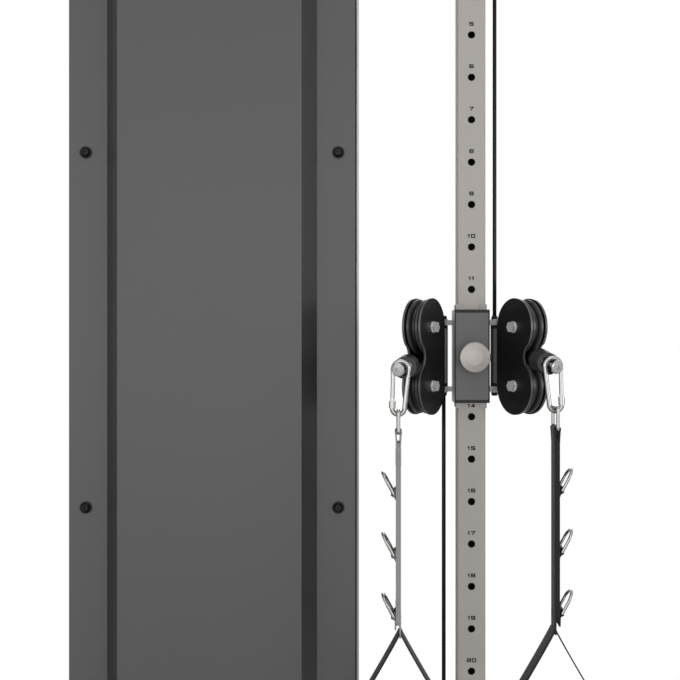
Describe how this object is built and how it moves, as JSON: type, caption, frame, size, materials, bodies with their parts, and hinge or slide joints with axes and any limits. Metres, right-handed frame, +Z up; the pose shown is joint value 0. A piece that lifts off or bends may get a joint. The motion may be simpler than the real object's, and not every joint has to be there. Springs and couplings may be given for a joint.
{
  "type": "cable machine",
  "caption": "Cable machine: a weight tower beside a numbered upright, whose sliding carriage holds two swivelling twin-pulley blocks with hooks, rings and strap stirrups.",
  "frame": {"origin": "on the floor, on the axis of the square upright", "axes": "+Z up, the front faces -Y, the tower stands on the -X side of the upright"},
  "size_m": [0.928, 0.9, 2.1901],
  "materials": {
    "dark_paint": "semi gloss powder coat",
    "rubber": "matte",
    "grey_paint": "satin powder coat",
    "silver_paint": "satin powder coat",
    "shroud_paint": "semi gloss powder coat",
    "panel_paint": "satin powder coat",
    "zinc": "bright zinc plate",
    "polished_rod": "polished",
    "plate_iron": "matte black paint",
    "pin_steel": "brushed",
    "sleeve_paint": "satin",
    "liner_plastic": "matte",
    "cover_paint": "satin",
    "satin_aluminium": "satin",
    "bright_steel": "ground",
    "spring_steel": "bright",
    "cable_jacket": "smooth nylon jacket",
    "pulley_nylon": "moulded nylon",
    "block_paint": "satin powder coat",
    "stop_rubber": "matte",
    "hook_steel": "polished",
    "ring_steel": "bright",
    "webbing": "woven",
    "grip_plastic": "ribbed"
  },
  "bodies": {
    "frame": {"base_frame": "dark_paint", "rubber_feet": "rubber", "upright": "grey_paint", "top_beam": "grey_paint", "tower_columns": "silver_paint", "front_shroud": "shroud_paint", "rear_panel": "panel_paint", "frame_fasteners": "zinc", "guide_rods": "polished_rod", "standing_plates": "plate_iron", "frame_cable": "cable_jacket", "right_run_cable": "cable_jacket", "left_run_cable": "cable_jacket", "stack_loop_cable": "cable_jacket"},
    "upright_top_wheel": {"upright_top_pulley": "pulley_nylon"},
    "stack_feed_wheel": {"stack_feed_pulley": "pulley_nylon"},
    "stack_return_wheel": {"stack_return_pulley": "pulley_nylon"},
    "corner_top_wheel": {"corner_top_pulley": "pulley_nylon"},
    "corner_bottom_wheel": {"corner_bottom_pulley": "pulley_nylon"},
    "upright_bottom_wheel": {"upright_bottom_pulley": "pulley_nylon"},
    "stack": {"lifted_plates": "plate_iron", "stack_head": "plate_iron"},
    "pin": {"selector_pin": "pin_steel"},
    "stack_wheel": {"stack_pulley": "pulley_nylon"},
    "carriage": {"carriage_sleeve": "sleeve_paint", "carriage_liners": "liner_plastic", "carriage_cover": "cover_paint", "plunger_spring": "spring_steel"},
    "plunger": {"pull_knob": "satin_aluminium", "lock_plunger": "bright_steel"},
    "right_block": {"right_block_frame": "block_paint", "right_block_hardware": "zinc", "right_block_cable": "cable_jacket", "right_pull_cable": "cable_jacket"},
    "left_block": {"left_block_frame": "block_paint", "left_block_hardware": "zinc", "left_block_cable": "cable_jacket", "left_stop_sleeve": "stop_rubber"},
    "right_end": {"right_stop_sleeve": "stop_rubber"},
    "right_upper_wheel": {"right_upper_pulley": "pulley_nylon"},
    "right_lower_wheel": {"right_lower_pulley": "pulley_nylon"},
    "right_hook": {"right_hook": "hook_steel"},
    "right_gate": {"right_gate": "hook_steel"},
    "right_ring": {"right_ring": "ring_steel"},
    "right_strap": {"right_strap": "webbing"},
    "right_d_ring_1": {"right_d_ring_1": "ring_steel"},
    "right_d_ring_2": {"right_d_ring_2": "ring_steel"},
    "right_d_ring_3": {"right_d_ring_3": "ring_steel"},
    "right_grip": {"right_grip": "grip_plastic"},
    "left_upper_wheel": {"left_upper_pulley": "pulley_nylon"},
    "left_lower_wheel": {"left_lower_pulley": "pulley_nylon"},
    "left_hook": {"left_hook": "hook_steel"},
    "left_gate": {"left_gate": "hook_steel"},
    "left_ring": {"left_ring": "ring_steel"},
    "left_strap": {"left_strap": "webbing"},
    "left_d_ring_1": {"left_d_ring_1": "ring_steel"},
    "left_d_ring_2": {"left_d_ring_2": "ring_steel"},
    "left_d_ring_3": {"left_d_ring_3": "ring_steel"},
    "left_grip": {"left_grip": "grip_plastic"}
  },
  "joints": [
    {"name": "carriage_slide", "type": "slide", "parent": "frame", "child": "carriage", "axis": [0, 0, 1], "range_m": [-0.825, 0.825], "deforming": ["right_run_cable", "left_run_cable"]},
    {"name": "knob_pull", "type": "slide", "parent": "carriage", "child": "plunger", "axis": [0, 1, 0], "range_m": [0, 0.0075], "stiffness_N_per_m": 1500, "springref_m": 0.0075, "deforming": ["plunger_spring"]},
    {"name": "right_swivel", "type": "hinge", "parent": "carriage", "child": "right_block", "pos_m": [0.0462, 0.022, 1.132], "axis": [0, 0, 1], "range_deg": [-20, 90]},
    {"name": "left_swivel", "type": "hinge", "parent": "carriage", "child": "left_block", "pos_m": [-0.0462, 0.022, 1.132], "axis": [0, 0, 1], "range_deg": [-20, 20]},
    {"name": "stack_lift", "type": "slide", "parent": "frame", "child": "stack", "axis": [0, 0, 1], "range_m": [0, 1], "deforming": ["stack_loop_cable"]},
    {"name": "right_pull", "type": "slide", "parent": "right_block", "child": "right_end", "axis": [0.4574, -0.8603, -0.225], "range_m": [0, 2], "deforming": ["right_pull_cable"]},
    {"name": "pin_pull", "type": "slide", "parent": "stack", "child": "pin", "axis": [0, 1, 0], "range_m": [0, 0.1]},
    {"name": "upright_top_turn", "type": "hinge", "parent": "frame", "child": "upright_top_wheel", "pos_m": [0.0026, 0.022, 2.12], "axis": [0, 1, 0], "continuous": true},
    {"name": "stack_feed_turn", "type": "hinge", "parent": "frame", "child": "stack_feed_wheel", "pos_m": [-0.3713, 0.022, 2.12], "axis": [0, 1, 0], "continuous": true},
    {"name": "stack_return_turn", "type": "hinge", "parent": "frame", "child": "stack_return_wheel", "pos_m": [-0.5457, 0.022, 2.12], "axis": [0, 1, 0], "continuous": true},
    {"name": "corner_top_turn", "type": "hinge", "parent": "frame", "child": "corner_top_wheel", "pos_m": [-0.6457, 0.022, 2.12], "axis": [0, 1, 0], "continuous": true},
    {"name": "corner_bottom_turn", "type": "hinge", "parent": "frame", "child": "corner_bottom_wheel", "pos_m": [-0.6457, 0.022, 0.0632], "axis": [0, 1, 0], "continuous": true},
    {"name": "upright_bottom_turn", "type": "hinge", "parent": "frame", "child": "upright_bottom_wheel", "pos_m": [-0.0898, 0.022, 0.0632], "axis": [0, 1, 0], "continuous": true},
    {"name": "stack_wheel_turn", "type": "hinge", "parent": "stack", "child": "stack_wheel", "pos_m": [-0.4585, 0.022, 0.684], "axis": [0, 1, 0], "continuous": true},
    {"name": "right_upper_turn", "type": "hinge", "parent": "right_block", "child": "right_upper_wheel", "pos_m": [0.08517, -0.05128, 1.183], "axis": [0.8829, 0.4695, 0], "continuous": true},
    {"name": "right_lower_turn", "type": "hinge", "parent": "right_block", "child": "right_lower_wheel", "pos_m": [0.08517, -0.05128, 1.081], "axis": [0.8829, 0.4695, 0], "continuous": true},
    {"name": "left_upper_turn", "type": "hinge", "parent": "left_block", "child": "left_upper_wheel", "pos_m": [-0.08517, -0.05128, 1.183], "axis": [-0.8829, 0.4695, 0], "continuous": true},
    {"name": "left_lower_turn", "type": "hinge", "parent": "left_block", "child": "left_lower_wheel", "pos_m": [-0.08517, -0.05128, 1.081], "axis": [-0.8829, 0.4695, 0], "continuous": true},
    {"name": "right_hook_swing", "type": "hinge", "parent": "right_end", "child": "right_hook", "pos_m": [0.12436, -0.125, 1.11898], "axis": [0, -1, 0], "range_deg": [-5, 60]},
    {"name": "right_gate_turn", "type": "hinge", "parent": "right_hook", "child": "right_gate", "pos_m": [0.14022, -0.125, 1.06619], "axis": [0, -1, 0], "range_deg": [0, 24], "stiffness_Nm_per_rad": 0.05, "springref_deg": -8.59},
    {"name": "right_ring_swing", "type": "hinge", "parent": "right_hook", "child": "right_ring", "pos_m": [0.13036, -0.125, 1.04273], "axis": [1, 0, 0], "range_deg": [-75, 5]},
    {"name": "right_strap_swing", "type": "hinge", "parent": "right_ring", "child": "right_strap", "pos_m": [0.13036, -0.125, 1.01373], "axis": [0, -1, 0], "range_deg": [-3, 60]},
    {"name": "right_d_ring_1_turn", "type": "hinge", "parent": "right_strap", "child": "right_d_ring_1", "pos_m": [0.13876, -0.125, 0.91373], "axis": [0, 1, 0], "range_deg": [-22, 110]},
    {"name": "right_d_ring_2_turn", "type": "hinge", "parent": "right_strap", "child": "right_d_ring_2", "pos_m": [0.13876, -0.125, 0.81273], "axis": [0, 1, 0], "range_deg": [-22, 110]},
    {"name": "right_d_ring_3_turn", "type": "hinge", "parent": "right_strap", "child": "right_d_ring_3", "pos_m": [0.13876, -0.125, 0.71173], "axis": [0, 1, 0], "range_deg": [-22, 110]},
    {"name": "right_grip_turn", "type": "hinge", "parent": "right_strap", "child": "right_grip", "pos_m": [0.13036, -0.125, 0.55573], "axis": [1, 0, 0], "continuous": true},
    {"name": "left_hook_swing", "type": "hinge", "parent": "left_block", "child": "left_hook", "pos_m": [-0.12436, -0.125, 1.1133], "axis": [0, 1, 0], "range_deg": [-5, 60]},
    {"name": "left_gate_turn", "type": "hinge", "parent": "left_hook", "child": "left_gate", "pos_m": [-0.14022, -0.125, 1.0605], "axis": [0, 1, 0], "range_deg": [0, 24], "stiffness_Nm_per_rad": 0.05, "springref_deg": -8.59},
    {"name": "left_ring_swing", "type": "hinge", "parent": "left_hook", "child": "left_ring", "pos_m": [-0.13036, -0.125, 1.03705], "axis": [1, 0, 0], "range_deg": [-75, 5]},
    {"name": "left_strap_swing", "type": "hinge", "parent": "left_ring", "child": "left_strap", "pos_m": [-0.13036, -0.125, 1.00805], "axis": [0, 1, 0], "range_deg": [-3, 60]},
    {"name": "left_d_ring_1_turn", "type": "hinge", "parent": "left_strap", "child": "left_d_ring_1", "pos_m": [-0.13876, -0.125, 0.90805], "axis": [0, -1, 0], "range_deg": [-22, 110]},
    {"name": "left_d_ring_2_turn", "type": "hinge", "parent": "left_strap", "child": "left_d_ring_2", "pos_m": [-0.13876, -0.125, 0.80705], "axis": [0, -1, 0], "range_deg": [-22, 110]},
    {"name": "left_d_ring_3_turn", "type": "hinge", "parent": "left_strap", "child": "left_d_ring_3", "pos_m": [-0.13876, -0.125, 0.70605], "axis": [0, -1, 0], "range_deg": [-22, 110]},
    {"name": "left_grip_turn", "type": "hinge", "parent": "left_strap", "child": "left_grip", "pos_m": [-0.13036, -0.125, 0.55005], "axis": [1, 0, 0], "continuous": true}
  ],
  "couplings": [
    {"joint": "right_pull", "follows": "stack_lift", "ratio": 2},
    {"joint": "upright_top_turn", "follows": "stack_lift", "rad_per_m": 45.872},
    {"joint": "stack_feed_turn", "follows": "stack_lift", "rad_per_m": 45.872},
    {"joint": "stack_wheel_turn", "follows": "stack_lift", "rad_per_m": 22.936},
    {"joint": "right_upper_turn", "follows": "stack_lift", "rad_per_m": -45.872},
    {"joint": "stack_return_turn", "follows": "carriage_slide", "rad_per_m": 22.936},
    {"joint": "corner_top_turn", "follows": "carriage_slide", "rad_per_m": 22.936},
    {"joint": "corner_bottom_turn", "follows": "carriage_slide", "rad_per_m": 22.936},
    {"joint": "upright_bottom_turn", "follows": "carriage_slide", "rad_per_m": -22.936}
  ]
}
